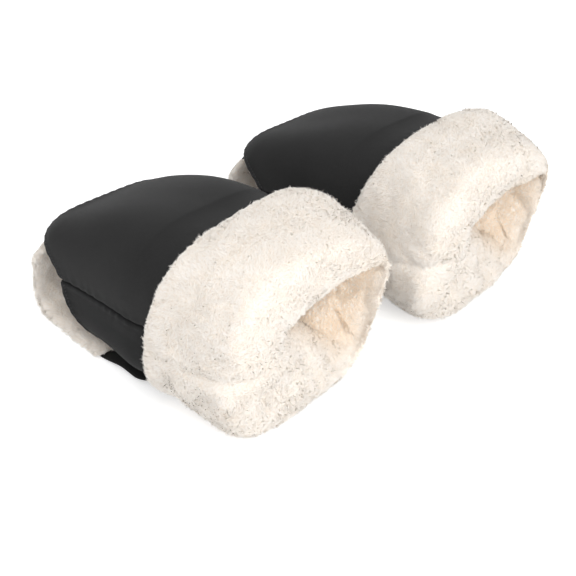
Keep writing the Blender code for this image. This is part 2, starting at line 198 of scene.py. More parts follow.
# Creases in the cuff's front face: two ends as (x, z), and depth
CREASES = (
    ((-0.035, 0.126), (0.0065, 0.0725), 0.0060),
    ((-0.056, 0.067), (-0.049, 0.046), 0.0050),
    ((0.004, 0.075), (0.020, 0.030), 0.0042),
)
CREASE_WIDTH = 0.0065

# Flap's route along its outer face, as in the CAD
FLAP_ROUTE = (
    (0.0, HINGE_Z), (0.0, 0.0720), (0.0004, 0.0500), (0.0022, 0.0300),
    (0.0085, 0.0115), (0.0200, 0.0016), (0.0320, 0.0), (0.0880, 0.0),
    (0.1050, 0.0014), (0.1200, 0.0052), (0.1330, 0.0088), (0.1440, 0.0092),
    (0.1680, 0.0092),
)
FLAP_TOP_HALF_WIDTH = 0.046
FLAP_HALF_WIDTH = 0.082
FLAP_WIDENING = 0.030
FLAP_CORNER = 0.018
FLAP_FLEECE = 0.0050
FLAP_FLEECE_SPAN = (0.016, 0.178)
FLAP_FLEECE_INSET = -0.0008
FLAP_GRID = (150, 96)
FLEECE_GRID = (90, 80)

# Snaps
POST_RADIUS = 0.0013
CAP_RIM = 0.0015
BORE_RADIUS = 0.0017

# Pile
CUFF_STRANDS = 125000
LINING_STRANDS = 20000
FLAP_STRANDS = 26000
PILE_LENGTH = 0.0050
SHORT_PILE_LENGTH = 0.0048
PILE_WIDTH = 0.00082
PILE_RIDGE = 0.00034
PILE_ROOT = 0.0006
PILE_ROUND = 0.70
STRANDS_A_CLUMP = 6
STRANDS_A_PIECE = 31500
STRAY_SHARE = 0.025
PILE_SWIRLS = ((0.034, 0.45), (0.012, 0.30))  # wavelength and share of each
PILE_SCATTER = 0.45
PILE_SIZES = (0.65, 1.20)
PILE_WIDTHS = (0.7, 1.25)
PILE_TAPER = 0.85
CLUMP_PULL = 0.40
LOCK_PULL = 0.38

# Colours
WHITE = (1.0, 1.0, 1.0)
SHELL = (0.0212, 0.0212, 0.0214)
# The bottom panels' softshell is given a darker colour than the top panels'
LOWER_SHELL = (0.0100, 0.0101, 0.0104)
FLEECE = (0.97, 0.885, 0.79)
# The root colour is painted shade: darker and warmer where the strands shade each other near the
# backing
FIBRE_ROOT_PAINTED_SHADE = (0.980, 0.895, 0.800)
FIBRE_TIP = (0.998, 0.966, 0.925)
# Painted shade: a warm darker tint multiplied into the fibres deep in the mouth and on the linings
FIBRE_PAINTED_SHADE = (1.0, 0.885, 0.755)
WADDING = (0.82, 0.82, 0.80)
THREAD = (0.035, 0.035, 0.036)
SNAP = (0.020, 0.020, 0.022)
SNAP_METAL = (0.56, 0.56, 0.57)

# Floor and light: name, place, size and power of each lamp
FLOOR_REACH = 6.0
FLOOR_Z = -0.0006
FLOOR_GLOW = 0.47
WORLD_LIGHT = 0.60
LAMPS = (
    ("key", (-1.2, -0.7, 1.9), 1.6, 21.0),
    ("fill", (-0.2, -2.0, 0.8), 1.8, 20.0),
    ("side", (-1.8, 0.1, 0.6), 1.6, 2.5),
    ("back", (0.6, 1.5, 1.5), 1.5, 5.0),
)
LAMP_TARGET = (0.0, 0.0, 0.1)

# Camera, from the fit to the photograph
CAMERA_PLACE = (-0.7469, -0.58305, 0.71309)
CAMERA_RIGHT = (0.68177347, -0.72043143, 0.12713573)
CAMERA_UP = (0.36641432, 0.48669674, 0.79301124)
CAMERA_LENS = 70.04


# ---- numbers

def ease(value, low, high):
    """0 before low, 1 after high, smooth between."""
    share = np.clip((value - low) / (high - low), 0.0, 1.0)
    return share * share * (3 - 2 * share)


def swell(value, high):
    """Rises almost straight from 0 and lands softly on 1 at high."""
    share = np.clip(value / high, 0.0, 1.0)
    return (share + np.sin(math.pi / 2 * share)) / 2


def bell(value, width):
    """1 at 0, falling smoothly to nothing within about two widths."""
    return np.exp(-(value / width) ** 2)


def mix(first, second, share):
    return first + (second - first) * share


def unit(vectors):
    return vectors / np.maximum(np.linalg.norm(vectors, axis=-1, keepdims=True), 1e-12)


def ripple(points, wavelength, seed, parts=1):
    """A smooth random field at the points, with so many values each, about -1 to 1."""
    rng = np.random.default_rng(seed)
    points = np.asarray(points, float)
    waves = 9
    field = np.zeros(points.shape[:-1] + (parts,))
    for part in range(parts):
        for _ in range(waves):
            direction = unit(rng.normal(size=3))
            length = wavelength * rng.uniform(0.6, 1.7)
            phase = rng.uniform(0, 2 * math.pi)
            field[..., part] += np.sin(points @ direction * (2 * math.pi / length) + phase)
    field /= math.sqrt(waves)
    return field[..., 0] if parts == 1 else field


def hermite(first, last, leaving, arriving, t):
    """A cubic from first to last with the given tangents at its ends."""
    return (
        first * (2 * t ** 3 - 3 * t ** 2 + 1)
        + leaving * (t ** 3 - 2 * t ** 2 + t)
        + last * (3 * t ** 2 - 2 * t ** 3)
        + arriving * (t ** 3 - t ** 2)
    )


def around(angle, columns):
    """Values of a closed table at angles in degrees: a smooth periodic curve through its rows."""
    table = np.array(columns, float)
    knots = np.concatenate([table[:, 0] - 360, table[:, 0], table[:, 0] + 360])
    values = np.concatenate([table[:, 1:]] * 3)
    slopes = np.gradient(values, knots, axis=0)
    at = np.clip(np.searchsorted(knots, angle, side="right") - 1, 0, len(knots) - 2)
    span = (knots[at + 1] - knots[at])[:, None]
    t = (angle - knots[at])[:, None] / span
    return hermite(values[at], values[at + 1], slopes[at] * span, slopes[at + 1] * span, t)


def smooth_line(control, slopes, gaps, parts):
    """An open curve through the control points, with so many parts to each gap."""
    line = [
        hermite(control[i], control[i + 1], slopes[i] * gap, slopes[i + 1] * gap, t)
        for i, gap in enumerate(gaps) for t in np.linspace(0.0, 1.0, parts, endpoint=False)
    ]
    return np.array(line + [control[-1]])


def lengths(points, axis=0):
    """How far each point lies along its line, counted from the line's first point."""
    steps = np.linalg.norm(np.diff(points, axis=axis), axis=-1)
    return np.cumsum(np.insert(steps, 0, 0.0, axis=axis), axis=axis)


def read_off(at, knots, columns):
    """Each column's values, interpolated at the given places."""
    return np.stack([np.interp(at, knots, column) for column in columns.T], 1)


def resample(lines, shares):
    """Points at shares of each line's length: lines is (points, lines, 2 or 3)."""
    reach = lengths(lines)
    return np.stack([
        read_off(np.asarray(shares) * reach[-1, j], reach[:, j], lines[:, j])
        for j in range(lines.shape[1])
    ], 1)


# ---- the muff's form

def rounding(distance, radius):
    """How much a rounded corner takes away at a distance from the edge."""
    short = radius - np.clip(distance, 0.0, radius)
    return radius - np.sqrt(np.maximum(radius ** 2 - short ** 2, 0.0))


def shell_size(along):
    """The shell's outer half width, top, bottom, seam height and two powers at places along."""
    along = np.asarray(along, float)
    puff = swell(along, PUFF_AT)
    mouth = ease(along, PUFF_AT, MOUTH_AT)
    lower = ease(along, FLAT_END, ROUND_AT)
    half_width, top, seam = (
        mix(mix(at_back, fattest, puff), at_mouth, mouth)
        for at_back, fattest, at_mouth in (HALF_WIDTHS, TOPS, SEAMS)
    )
    bottom = mix(BACK_BOTTOM, mix(BACK_BOTTOM, MOUTH_BOTTOM, mouth), lower)
    half_width = half_width - rounding(along, CORNER_RADIUS)
    top = top - rounding(along, FOLD_RADIUS)
    top_power = mix(BACK_TOP_POWER, MOUTH_POWER, puff)
    bottom_power = mix(BACK_BOTTOM_POWER, MOUTH_POWER, lower)
    return half_width, top, bottom, seam, top_power, bottom_power


def section_table(places, shares, upper, inset):
    """Points (x, z) of half sections, inset from the shell's face, at shares of their length."""
    half_width, top, bottom, seam, top_power, bottom_power = shell_size(places)
    side_inset, top_inset, bottom_inset = inset
    half_width = half_width - side_inset
    power = (top_power if upper else bottom_power)[:, None]
    rise = (top - top_inset if upper else bottom + bottom_inset) - seam
    angles = np.linspace(0.0, math.pi, SECTION_SAMPLES)
    across, over = np.cos(angles), np.sin(angles)
    x = half_width[:, None] * np.sign(across) * np.abs(across) ** (2 / power)
    z = seam[:, None] + rise[:, None] * np.abs(over) ** (2 / power)
    lines = np.stack([x, z], 2).transpose(1, 0, 2)
    return resample(lines, shares).transpose(1, 0, 2)


def outer_face(places):
    """No inset at all."""
    return 0.0, 0.0, 0.0


def padding_inset(layer, share, upper):
    """Insets of a surface inside the padding: share 0 is a layer's outer face, 1 its inner."""
    def inset(places):
        grown = ease(places, SKIRT_START, LINING_END)
        start = CLOTH + (GAP if upper else POST_ROOM)
        depths = []
        for mouth_wadding, mouth_lining in zip(MOUTH_WADDING, MOUTH_LINING):
            wadding = mix(BACK_WADDING, mouth_wadding, grown)
            lining = mix(BACK_LINING, mouth_lining, grown)
            deeper = wadding * share if layer == "wadding" else wadding + GAP + lining * share
            depths.append(start + deeper)
        return depths
    return inset


def half_grid(alongs, shares, upper, inset):
    """Points (x, along, z) on a half: alongs is (rows, columns), with one share per column."""
    places = np.linspace(0.0, MUFF_LENGTH, PLACES)
    table = section_table(places, shares, upper, inset(places))
    points = np.empty(alongs.shape + (3,))
    points[..., 1] = alongs
    for j in range(alongs.shape[1]):
        points[:, j, ::2] = read_off(alongs[:, j], places, table[:, j])
    return points


def half_length(upper):
    """The half section's length where the skirt starts."""
    places = np.array([SKIRT_START])
    line = section_table(places, np.linspace(0, 1, 400), upper, outer_face(places))[0]
    return float(np.linalg.norm(np.diff(line, axis=0), axis=1).sum())


def back_edge(shares, upper):
    """Where a panel starts: the skirt above the handlebar, a curve below it."""
    distance = np.minimum(shares, 1 - shares) * half_length(upper)
    if upper:
        return SKIRT_START * np.maximum(0.0, 1 - distance / SKIRT_DROP)
    run = np.minimum(distance / EDGE_RUN, 1.0)
    return mix(SKIRT_START, EDGE_END, (1 - np.cos(math.pi * run)) / 2)


def panel_places(grid, upper, rim, room=0.0, power=1.0):
    """Where the points of a half's grid lie: a share of the section and a place for each.

    The columns crowd together at the seams. Also gives the distances from the back edge and from
    the nearer side seam.
    """
    rows, columns = grid
    t = np.linspace(0.0, 1.0, columns)
    t = t - CROWDING * np.sin(2 * math.pi * t) / (2 * math.pi)
    shares = mix(rim, 1 - rim, t)
    start = back_edge(shares, upper) + room
    forward = np.linspace(0.0, 1.0, rows)[:, None] ** power
    alongs = mix(start[None, :], LAYERS_END, forward)
    off_seam = np.minimum(shares, 1 - shares)[None, :] * half_length(upper)
    return shares, alongs, alongs - start[None, :], off_seam


def grid_normals(points):
    """Normals of a grid of points, pointing away from the muff's middle."""
    down = np.gradient(points, axis=0)
    across = np.gradient(points, axis=1)
    normals = unit(np.cross(down, across))
    middle = points.mean(axis=(0, 1))
    flip = np.sign(((points - middle) * normals).sum(-1).mean())
    return normals * (flip if flip else 1.0)


# ---- meshes

def to_world(points, sign):
    """From (x, along, z) in a muff to the CAD's frame."""
    points = np.asarray(points, float)
    return np.stack(
        [points[..., 0] + sign * SPACING / 2, BACK_Y - points[..., 1], points[..., 2]], -1
    )


def grid_faces(rows, columns, offset=0, close=False):
    """Quads over a grid of points; close joins the last column to the first."""
    i = np.arange(rows - 1)[:, None] * columns
    j = np.arange(columns if close else columns - 1)[None, :]
    after = (j + 1) % columns
    quads = np.stack([i + j, i + after, i + columns + after, i + columns + j], -1)
    return quads.reshape(-1, 4) + offset


def new_piece(name, points, faces, material, body, slot, uv=None):
    """A mesh object on a body. faces is a list of arrays of quads or triangles."""
    mesh = bpy.data.meshes.new(name)
    points = np.asarray(points, float).reshape(-1, 3)
    corners = np.concatenate([np.asarray(part).reshape(-1) for part in faces])
    sizes = np.concatenate([np.full(len(part), part.shape[1]) for part in faces])
    starts = np.concatenate([[0], np.cumsum(sizes)[:-1]])
    for items, key, values in (
        (mesh.vertices, "co", points.astype(np.float32)),
        (mesh.loops, "vertex_index", corners.astype(np.int32)),
        (mesh.polygons, "loop_start", starts.astype(np.int32)),
    ):
        items.add(len(values))
        items.foreach_set(key, values.reshape(-1))
    if uv is not None:
        layer = mesh.uv_layers.new(name="cloth")
        layer.data.foreach_set("uv", np.asarray(uv)[corners].astype(np.float32).reshape(-1))
    mesh.update(calc_edges=True)
    mesh.validate()
    mesh.shade_smooth()
    mesh.materials.append(material)
    thing = bpy.data.objects.new(name, mesh)
    bpy.context.scene.collection.objects.link(thing)
    if body:
        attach(thing, body)
    return thing


def read_vectors(items, name):
    """One vector property of all the items, such as vertices, as single floats."""
    values = np.empty(len(items) * 3, np.float32)
    items.foreach_get(name, values)
    return values.reshape(-1, 3)


def layer_faces(rows, columns):
    """Faces of a closed layer: its outer grid, its inner grid and the rims between them."""
    size = rows * columns
    outer = grid_faces(rows, columns)
    inner = grid_faces(rows, columns, size)[:, ::-1]
    first = np.arange(columns)
    low = np.arange(rows) * columns
    rims = []
    for line, turned in (
        (first, False), (first + size - columns, True), (low, True), (low + columns - 1, False),
    ):
        rim = np.stack([line[:-1], line[1:], line[1:] + size, line[:-1] + size], 1)
        rims.append(rim if turned else rim[:, ::-1])
    return np.concatenate([outer, inner] + rims)


def outward(faces, points):
    """Turns all faces round if they enclose a negative volume."""
    a, b, c, d = (points[faces[:, k]] for k in range(4))
    volume = (np.cross(a, b) * c).sum() + (np.cross(a, c) * d).sum()
    return faces if volume > 0 else faces[:, ::-1]


def new_layer(name, outer, inner, sign, material, body, slot, node, uv=None):
    """A closed layer between two grids of points (x, along, z), in place of a CAD node."""
    points = to_world(np.concatenate([outer.reshape(-1, 3), inner.reshape(-1, 3)]), sign)
    faces = outward(layer_faces(*outer.shape[:2]), points)
    if uv is not None:
        uv = np.concatenate([uv.reshape(-1, 2)] * 2)
    piece = new_piece(name, points, [faces], material, body, slot, uv)
    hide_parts(node)
    return piece


def grid_uv(points):
    """Lengths along the rows and columns of a grid, in metres."""
    u = lengths(points, 1)
    return np.stack([u - u.mean(axis=1, keepdims=True), lengths(points)], 2)


# ---- materials

def grey(value):
    return value, value, value


def tinted(color, factor, most=1.0):
    """A colour made darker or brighter, up to a limit."""
    return tuple(min(c * factor, most) for c in color)


class Nodes:
    """The node tree of a material or world, and short calls for its nodes."""

    def __init__(self, owner):
        owner.use_nodes = True
        self.owner = owner
        self.tree = owner.node_tree

    def put(self, socket, value):
        if isinstance(value, bpy.types.NodeSocket):
            self.tree.links.new(value, socket)
        else:
            socket.default_value = value

    def add(self, kind, **inputs):
        node = self.tree.nodes.new("ShaderNode" + kind)
        for key, value in inputs.items():
            self.put(node.inputs[key.replace("_", " ")], value)
        return node

    def set(self, name, value):
        self.put(self.tree.nodes["Principled BSDF"].inputs[name], value)

    def math(self, operation, first, second=0.0):
        node = self.add("Math")
        node.operation = operation
        self.put(node.inputs[0], first)
        self.put(node.inputs[1], second)
        return node.outputs[0]

    def position(self):
        return self.add("TexCoord").outputs["Object"]

    def noise(self, size, detail=3.0):
        """Noise whose lumps are about so many metres across."""
        node = self.add(
            "TexNoise", Scale=1.0 / size, Detail=detail, Roughness=0.55, Vector=self.position()
        )
        return node.outputs["Fac"]

    def ramp(self, value, *stops):
        """A colour ramp through (place, colour) stops."""
        node = self.add("ValToRGB", Fac=value)
        elements = node.color_ramp.elements
        while len(elements) < len(stops):
            elements.new(0.5)
        for element, (place, color) in zip(elements, stops):
            element.position = place
            element.color = (*color, 1.0)
        return node.outputs["Color"]

    def span(self, value, low, high):
        """A 0 to 1 value as a number between low and high."""
        return self.add("MapRange", To_Min=low, To_Max=high, Value=value).outputs["Result"]

    def blend(self, share, first, second, kind="MIX"):
        node = self.add("Mix")
        node.data_type = "RGBA"
        node.blend_type = kind
        self.put(node.inputs["Factor"], share)
        for socket, value in ((node.inputs[6], first), (node.inputs[7], second)):
            self.put(socket, (*value, 1.0) if isinstance(value, tuple) else value)
        return node.outputs[2]

    def bump(self, height, distance, strength=1.0, under=None):
        node = self.add("Bump", Strength=strength, Distance=distance, Height=height)
        if under is not None:
            self.put(node.inputs["Normal"], under)
        return node.outputs["Normal"]

    def seen(self):
        """1 where the camera looks, straight or by a glossy or passing ray, and 0 for light."""
        path = self.add("LightPath")
        either = path.outputs["Is Camera Ray"]
        for kind in ("Glossy", "Transmission"):
            either = self.math("MAXIMUM", either, path.outputs[f"Is {kind} Ray"])
        return either


def surface(name, color, **inputs):
    """A new material's nodes, in its plain colour, with some of its shader's inputs set."""
    n = Nodes(bpy.data.materials.new(name))
    n.owner.diffuse_color = (*color, 1.0)
    n.set("Base Color", (*color, 1.0))
    for key, value in inputs.items():
        n.set(key.replace("_", " "), value)
    return n


def grained(n, color, grain, tints, *bumps):
    """Tints a material by one noise and roughens it by several.

    grain is a noise's lump size and detail, tints are its (place, factor, limit) stops, and each
    bump is (noise, distance, strength), the lowest first, where None is the grain's own noise.
    """
    fac = n.noise(*grain)
    n.set("Base Color", n.ramp(fac, *((at, tinted(color, *factor)) for at, *factor in tints)))
    normal = None
    for noise, distance, strength in bumps:
        height = n.noise(*noise) if noise else fac
        normal = n.bump(height, distance, strength, normal)
    n.set("Normal", normal)
    return fac


def softshell(name, color):
    """Smooth matt polyester with a fine plain weave."""
    n = surface(name, color, Roughness=0.62, Specular_IOR_Level=0.08)
    uv = n.add("UVMap")
    uv.uv_map = "cloth"
    parts = n.add("SeparateXYZ", Vector=uv.outputs[0])
    pitch = 2 * math.pi / 0.0007
    warp, weft = (
        n.math("SINE", n.math("MULTIPLY", parts.outputs[k], pitch)) for k in range(2)
    )
    weave = n.math("MULTIPLY", warp, weft)
    grain = n.noise(0.0016, 2.0)
    tint = n.ramp(n.noise(0.05, 4.0), (0.32, tinted(color, 0.93)), (0.68, tinted(color, 1.07)))
    flecks = n.ramp(grain, (0.30, grey(0.90)), (0.75, grey(1.08)))
    n.set("Base Color", n.blend(1.0, tint, flecks, "MULTIPLY"))
    n.set("Roughness", n.span(grain, 0.56, 0.68))
    coarse = n.bump(n.noise(0.004), 0.0004, 0.18)
    n.set("Normal", n.bump(weave, 0.00012, 0.30, coarse))
    return n.owner


def knit_backing(name, color):
    """The knitted cloth that the pile stands on."""
    n = surface(name, color, Roughness=0.95, Sheen_Weight=0.25, Sheen_Roughness=0.6)
    tints = ((0.25, 0.86), (0.55, 1.0), (0.80, 1.05, 0.95))
    grained(n, color, (0.0022, 3.0), tints, ((0.007, 3.0), 0.004, 0.5), (None, 0.002, 0.7))
    return n.owner


def plush(name, root, tip, deep):
    """Pile fibres: tone's red runs from the root's painted shade to the tip, green differs by
    strand, blue is depth in the mouth, which multiplies in a warm painted shade.
    """
    n = surface(
        name, tip, Roughness=0.88, Sheen_Weight=0.25, Sheen_Roughness=0.5, Specular_IOR_Level=0.2
    )
    tone = n.add("VertexColor")
    tone.layer_name = "tone"
    parts = n.add("SeparateColor", Color=tone.outputs["Color"])
    # Red runs from the roots' painted shade to the tips' own colour
    middle = tuple(mix(np.array(root), tip, 0.75))
    color = n.ramp(parts.outputs[0], (0.0, root), (0.45, middle), (1.0, tip))
    for value, *stops in (
        (parts.outputs[1], (0.0, (0.945, 0.905, 0.86)), (0.32, (0.99, 0.98, 0.965)), (1.0, WHITE)),
        (n.noise(0.028), (0.35, (0.98, 0.97, 0.955)), (0.62, WHITE)),
    ):
        color = n.blend(1.0, color, n.ramp(value, *stops), "MULTIPLY")
    # Painted shade: deeper in the mouth the colour is multiplied by the warm darker tint
    color = n.blend(parts.outputs[2], color, n.blend(1.0, color, deep, "MULTIPLY"))
    n.set("Base Color", color)
    n.set("Normal", n.bump(n.noise(0.0006, 2.0), 0.0002, 0.3))
    return n.owner


def wool(name, color):
    """Needled wadding."""
    n = surface(name, color, Roughness=0.95)
    grained(n, color, (0.004, 6.0), ((0.3, 0.8), (0.7, 1.1, 0.9)), (None, 0.002, 0.6))
    return n.owner


def thread(name, color):
    """Twisted sewing thread."""
    n = surface(name, color, Roughness=0.55, Sheen_Weight=0.2)
    twist = n.add("TexWave", Scale=900.0, Distortion=1.0, Detail=1.0, Vector=n.position())
    twist.bands_direction = "DIAGONAL"
    fac = twist.outputs["Fac"]
    n.set("Base Color", n.ramp(fac, (0.0, tinted(color, 0.6)), (1.0, tinted(color, 1.2))))
    n.set("Normal", n.bump(fac, 0.0002, 0.5))
    return n.owner


def moulded(name, color):
    """Black moulded plastic with faint rub marks."""
    n = surface(name, color, Roughness=0.34)
    tints = ((0.35, 1.0), (0.75, 1.9))
    rub = grained(n, color, (0.0018, 5.0), tints, ((0.0004, 2.0), 0.00005, 0.25))
    n.set("Roughness", n.span(rub, 0.24, 0.46))
    return n.owner


def nickel(name, color):
    """Stamped nickel plate with fine turning lines and dull spots."""
    n = surface(name, color, Roughness=0.28, Metallic=1.0)
    tints = ((0.3, 0.86), (0.7, 1.08))
    spots = grained(n, color, (0.0012, 4.0), tints, ((0.0003, 2.0), 0.00003, 0.35))
    n.set("Roughness", n.span(spots, 0.20, 0.40))
    return n.owner


def floor_material():
    """Pale floor that keeps its shadow and is lifted to white for the eye alone."""
    n = surface(
        "floor", grey(0.90), Roughness=0.9, Specular_IOR_Level=0.1, Emission_Color=(*WHITE, 1.0)
    )
    n.set("Base Color", n.ramp(n.noise(0.4), (0.3, grey(0.89)), (0.7, grey(0.91))))
    n.set("Emission Strength", n.math("MULTIPLY", n.seen(), FLOOR_GLOW))
    return n.owner


# ---- shell

def shell_panel(side, sign, upper, material, seed):
    """One shell panel with its hem, puckers along the side seams and a soft undulation.

    Returns the points and normals of the line that the hem's stitches follow.
    """
    rim = GAP / 2 / half_length(upper)
    shares, alongs, off_back, off_seam = panel_places(SHELL_GRID, upper, rim, power=1.15)
    points = half_grid(alongs, shares, upper, outer_face)
    normals = grid_normals(points)
    uv = grid_uv(points)

    undulation = SHELL_WAVE * ripple(to_world(points, sign), SHELL_WAVELENGTH, seed)
    lift = undulation * ease(off_seam, 0.0, SHELL_CALM) * ease(off_back, 0.0, SHELL_CALM)

    nearer = np.broadcast_to(shares > 0.5, alongs.shape)
    wave = ripple(np.stack([alongs, nearer * 1.0, alongs * 0], -1), 0.060, seed + 1)
    pucker = np.sin(2 * math.pi * (alongs / PUCKER_PITCH + 0.35 * wave) + off_seam / 0.004)
    lift += PUCKER * pucker * np.exp(-off_seam / PUCKER_REACH) * (0.7 + 0.5 * wave)
    lift -= SEAM_GROOVE * bell(off_seam, SEAM_GROOVE_WIDTH)
    lift += SEAM_RIDGE * bell(off_seam - SEAM_RIDGE_OFF, SEAM_RIDGE_WIDTH)

    drawn_out = np.stack([points[..., 0], alongs * 0.25, points[..., 2]], -1)
    lift += GATHER * ripple(drawn_out, GATHER_WIDTH, seed + 2) * ease(alongs, *GATHER_SPAN)

    on_hem = 1 - ease(off_back, HEM - HEM_SLOPE, HEM)
    lift += HEM_STEP * on_hem * ease(off_back, 0.0, HEM_ROUND)
    lift -= STITCH_GROOVE * bell(off_back - STITCH_LINE, STITCH_GROOVE_WIDTH)
    drawn_in = np.sin(2 * math.pi * uv[..., 0] / HEM_WAVELENGTH + wave)
    lift += HEM_WAVE * drawn_in * (1 - ease(off_back, HEM, SHELL_CALM))

    outer = points + normals * lift[..., None]
    node = f"{side}_shell_{'top' if upper else 'bottom'}"
    new_layer(
        f"{node}_cloth", outer, outer - normals * CLOTH, sign, material, f"{side}_muff", "shell",
        node, uv,
    )
    return hem_line(outer, normals, off_back, STITCH_LINE)


def hem_line(points, normals, distance, at):
    """The points and normals where each column of a grid is at one distance from its edge."""
    line, up = (
        np.array([read_off([at], distance[:, j], grid[:, j])[0] for j in range(grid.shape[1])])
        for grid in (points, normals)
    )
    return line, unit(up)


def stitches(name, lines, sign, material, body):
    """Short threads along lines on a surface, each a thin bead that dips in at both ends."""
    sides, steps = 6, 5
    turn = 2 * math.pi * np.arange(sides)[:, None] / sides
    arch = 1 - np.linspace(-1, 1, steps) ** 2
    radius = THREAD_RADIUS * (0.55 + 0.45 * arch)
    points, faces = [], []
    for line, up in lines:
        reach = lengths(line)
        for center in np.arange(STITCH_PITCH, reach[-1] - STITCH_PITCH, STITCH_PITCH):
            places = center + np.linspace(-0.5, 0.5, steps) * STITCH_LENGTH
            spine = read_off(places, reach, line)
            rise = unit(read_off(places, reach, up))
            across = unit(np.cross(unit(np.gradient(spine, axis=0)), rise))
            spine = spine + rise * (THREAD_RADIUS * (1.6 * arch - 0.9))[:, None]
            base = len(points) * sides
            for t in range(steps):
                ring = np.cos(turn) * across[t] + np.sin(turn) * rise[t]
                points.append(spine[t] + radius[t] * ring)
            cap = base + np.array([[0, 1, 2, 3], [0, 3, 4, 5]])
            faces.append(grid_faces(steps, sides, base, close=True))
            faces += [cap[:, ::-1], cap + (steps - 1) * sides]
    points = to_world(np.concatenate(points), sign)
    return new_piece(name, points, [np.concatenate(faces)], material, body, "shell")


# ---- cuff

def section_ring(alongs, insets):
    """Points round the section, one for each angle of the cuff, at its own place and depth."""
    alongs = np.broadcast_to(alongs, (CUFF_ANGLES,))
    points = np.empty((CUFF_ANGLES, 3))
    for k, angle in enumerate(CUFF_DEGREES):
        upper = angle <= 180
        share = angle / 180 if upper else 2 - angle / 180
        place = np.array([min(alongs[k], MOUTH_AT)])
        points[k, ::2] = section_table(place, [share], upper, insets(place, upper, k))[0, 0]
        points[k, 1] = alongs[k]
    return points


def even(depth):
    """Insets that are one depth, or one depth for each angle, all round."""
    depth = np.broadcast_to(depth, (CUFF_ANGLES,))
    return lambda place, upper, k: (depth[k],) * 3


def pocket(place, upper, k):
    """Insets of the lining's inner face."""
    return padding_inset("lining", 1.0, upper)(place)


def cuff_points():
    """The cuff's cloth as smooth closed profiles: control points, (points, angles, 3)."""
    turn = np.radians(CUFF_DEGREES)
    lift = np.sin(turn)
    start = CUFF_START + CUFF_START_LEAN * np.maximum(lift, 0.0)
    end = CUFF_END + CUFF_END_LEAN * lift
    edge = around(CUFF_DEGREES, MOUTH_EDGE)
    crown = CUFF_CROWN * bell(CUFF_DEGREES - 68, 24)
    turned_in = around(CUFF_DEGREES, TURNED_IN)[:, 0]

    def outer(share, swelling, crowning):
        """A ring on the outside: its share of the way, and how far it swells and crowns."""
        tuck = turned_in * ease(share, 0.1, 0.95)
        points = section_ring(mix(start, end, share), even(tuck - CUFF_THICKNESS * swelling))
        points[:, 2] += crown * crowning
        return points

    brow = section_ring(end - BROW_BACK, even(turned_in - CUFF_THICKNESS * 0.93))
    inward = edge - brow
    width = np.linalg.norm(inward[:, ::2], axis=1)
    out = -unit(inward * [1.0, 0.0, 1.0])
    soft = ease(-lift, 0.0, 0.75)
    lip = edge + out * np.minimum(mix(0.0035, 0.0100, soft), 0.28 * width)[:, None]
    lip[:, 1] += mix(0.0035, 0.0060, soft)
    noses, face = [], []
    for run, most, back in NOSES:
        nose = mix(brow, lip, np.clip(run / width, 0.0, most)[:, None])
        nose[:, 1] = end - back
        noses.append(nose)
    for part, bulge in FACE_BULGES:
        line = mix(noses[-1], lip, part)
        fullness = np.minimum(width / WIDE_FACE, 1.0)
        line[:, 1] = mix(end, lip[:, 1], part ** 2.2) + bulge * fullness
        face.append(line)
    leftness = ease(-np.cos(turn), -0.2, 0.9)
    below = soft * (1 - 0.85 * ease(np.cos(turn), 0.0, 0.7))
    under = edge + out * mix(mix(-0.0065, 0.010, leftness), -0.012, below)[:, None]
    under[:, 1] -= 0.010
    middle_x, middle_z, half_width, half_height = THROAT
    throat = np.stack([
        middle_x + half_width * np.cos(turn),
        np.full(CUFF_ANGLES, THROAT_AT),
        middle_z + half_height * lift,
    ], 1)
    return np.array([
        section_ring(start + 0.004, even(-0.0008)),
        section_ring(start, even(-CUFF_THICKNESS * 0.45)),
        *(outer(*ring) for ring in CUFF_RINGS),
        brow, *noses, *face, lip, edge, under, mix(under, throat, 0.5), throat,
        section_ring(LAYERS_END + 0.002, pocket),
    ])


def segment_distance(x, z, start, end):
    """Distances from a line between two points (x, z)."""
    dx, dz = end[0] - start[0], end[1] - start[1]
    t = np.clip(((x - start[0]) * dx + (z - start[1]) * dz) / (dx * dx + dz * dz), 0.0, 1.0)
    return np.hypot(x - start[0] - t * dx, z - start[1] - t * dz)


def closed_normals(grid):
    """Outward normals of a ring of closed profiles."""
    down = np.gradient(grid, axis=0)
    across = np.roll(grid, -1, axis=1) - np.roll(grid, 1, axis=1)
    normals = unit(np.cross(across, down))
    middle = grid[:12].mean(axis=(0, 1))
    away = ((grid[6:12] - middle) * normals[6:12]).sum()
    return normals if away > 0 else -normals


def cuff_relief(grid, sign, past_lip, depth, seed):
    """How far the cuff's lumps, side seams and creases stand out or in."""
    steps = np.arange(len(grid))[:, None]
    shown = ease(steps, 2, 8) * (1 - ease(steps, CUFF_STEPS - 8, CUFF_STEPS - 1))
    where = to_world(grid, sign)
    relief = ripple(where, 0.060, seed) * 0.0010 + ripple(where, 0.026, seed + 1) * 0.0004
    relief = relief * shown
    x, along, z = (grid[..., k] for k in range(3))
    off_seam = z - mix(*CUFF_SEAM_HEIGHTS, (along - CUFF_SEAM_START) / CUFF_SEAM_RUN)
    on_flank = (np.abs(x) > 0.05) * shown
    seam = bell(off_seam, CUFF_SEAM_WIDTH) * on_flank
    relief -= CUFF_SEAM_DEPTH * seam * (1 - ease(past_lip, -2.6, -1.2))
    on_outside = (steps < 0.42 * CUFF_STEPS) * 1.0
    relief += BULGE_HEIGHT * bell(off_seam + BULGE_BELOW, BULGE_WIDTH) * on_flank * on_outside
    on_face = ease(along, 0.270, 0.281) * (1 - depth)
    for start, end, dig in CREASES:
        relief -= dig * bell(segment_distance(x, z, start, end), CREASE_WIDTH) * on_face
    return relief


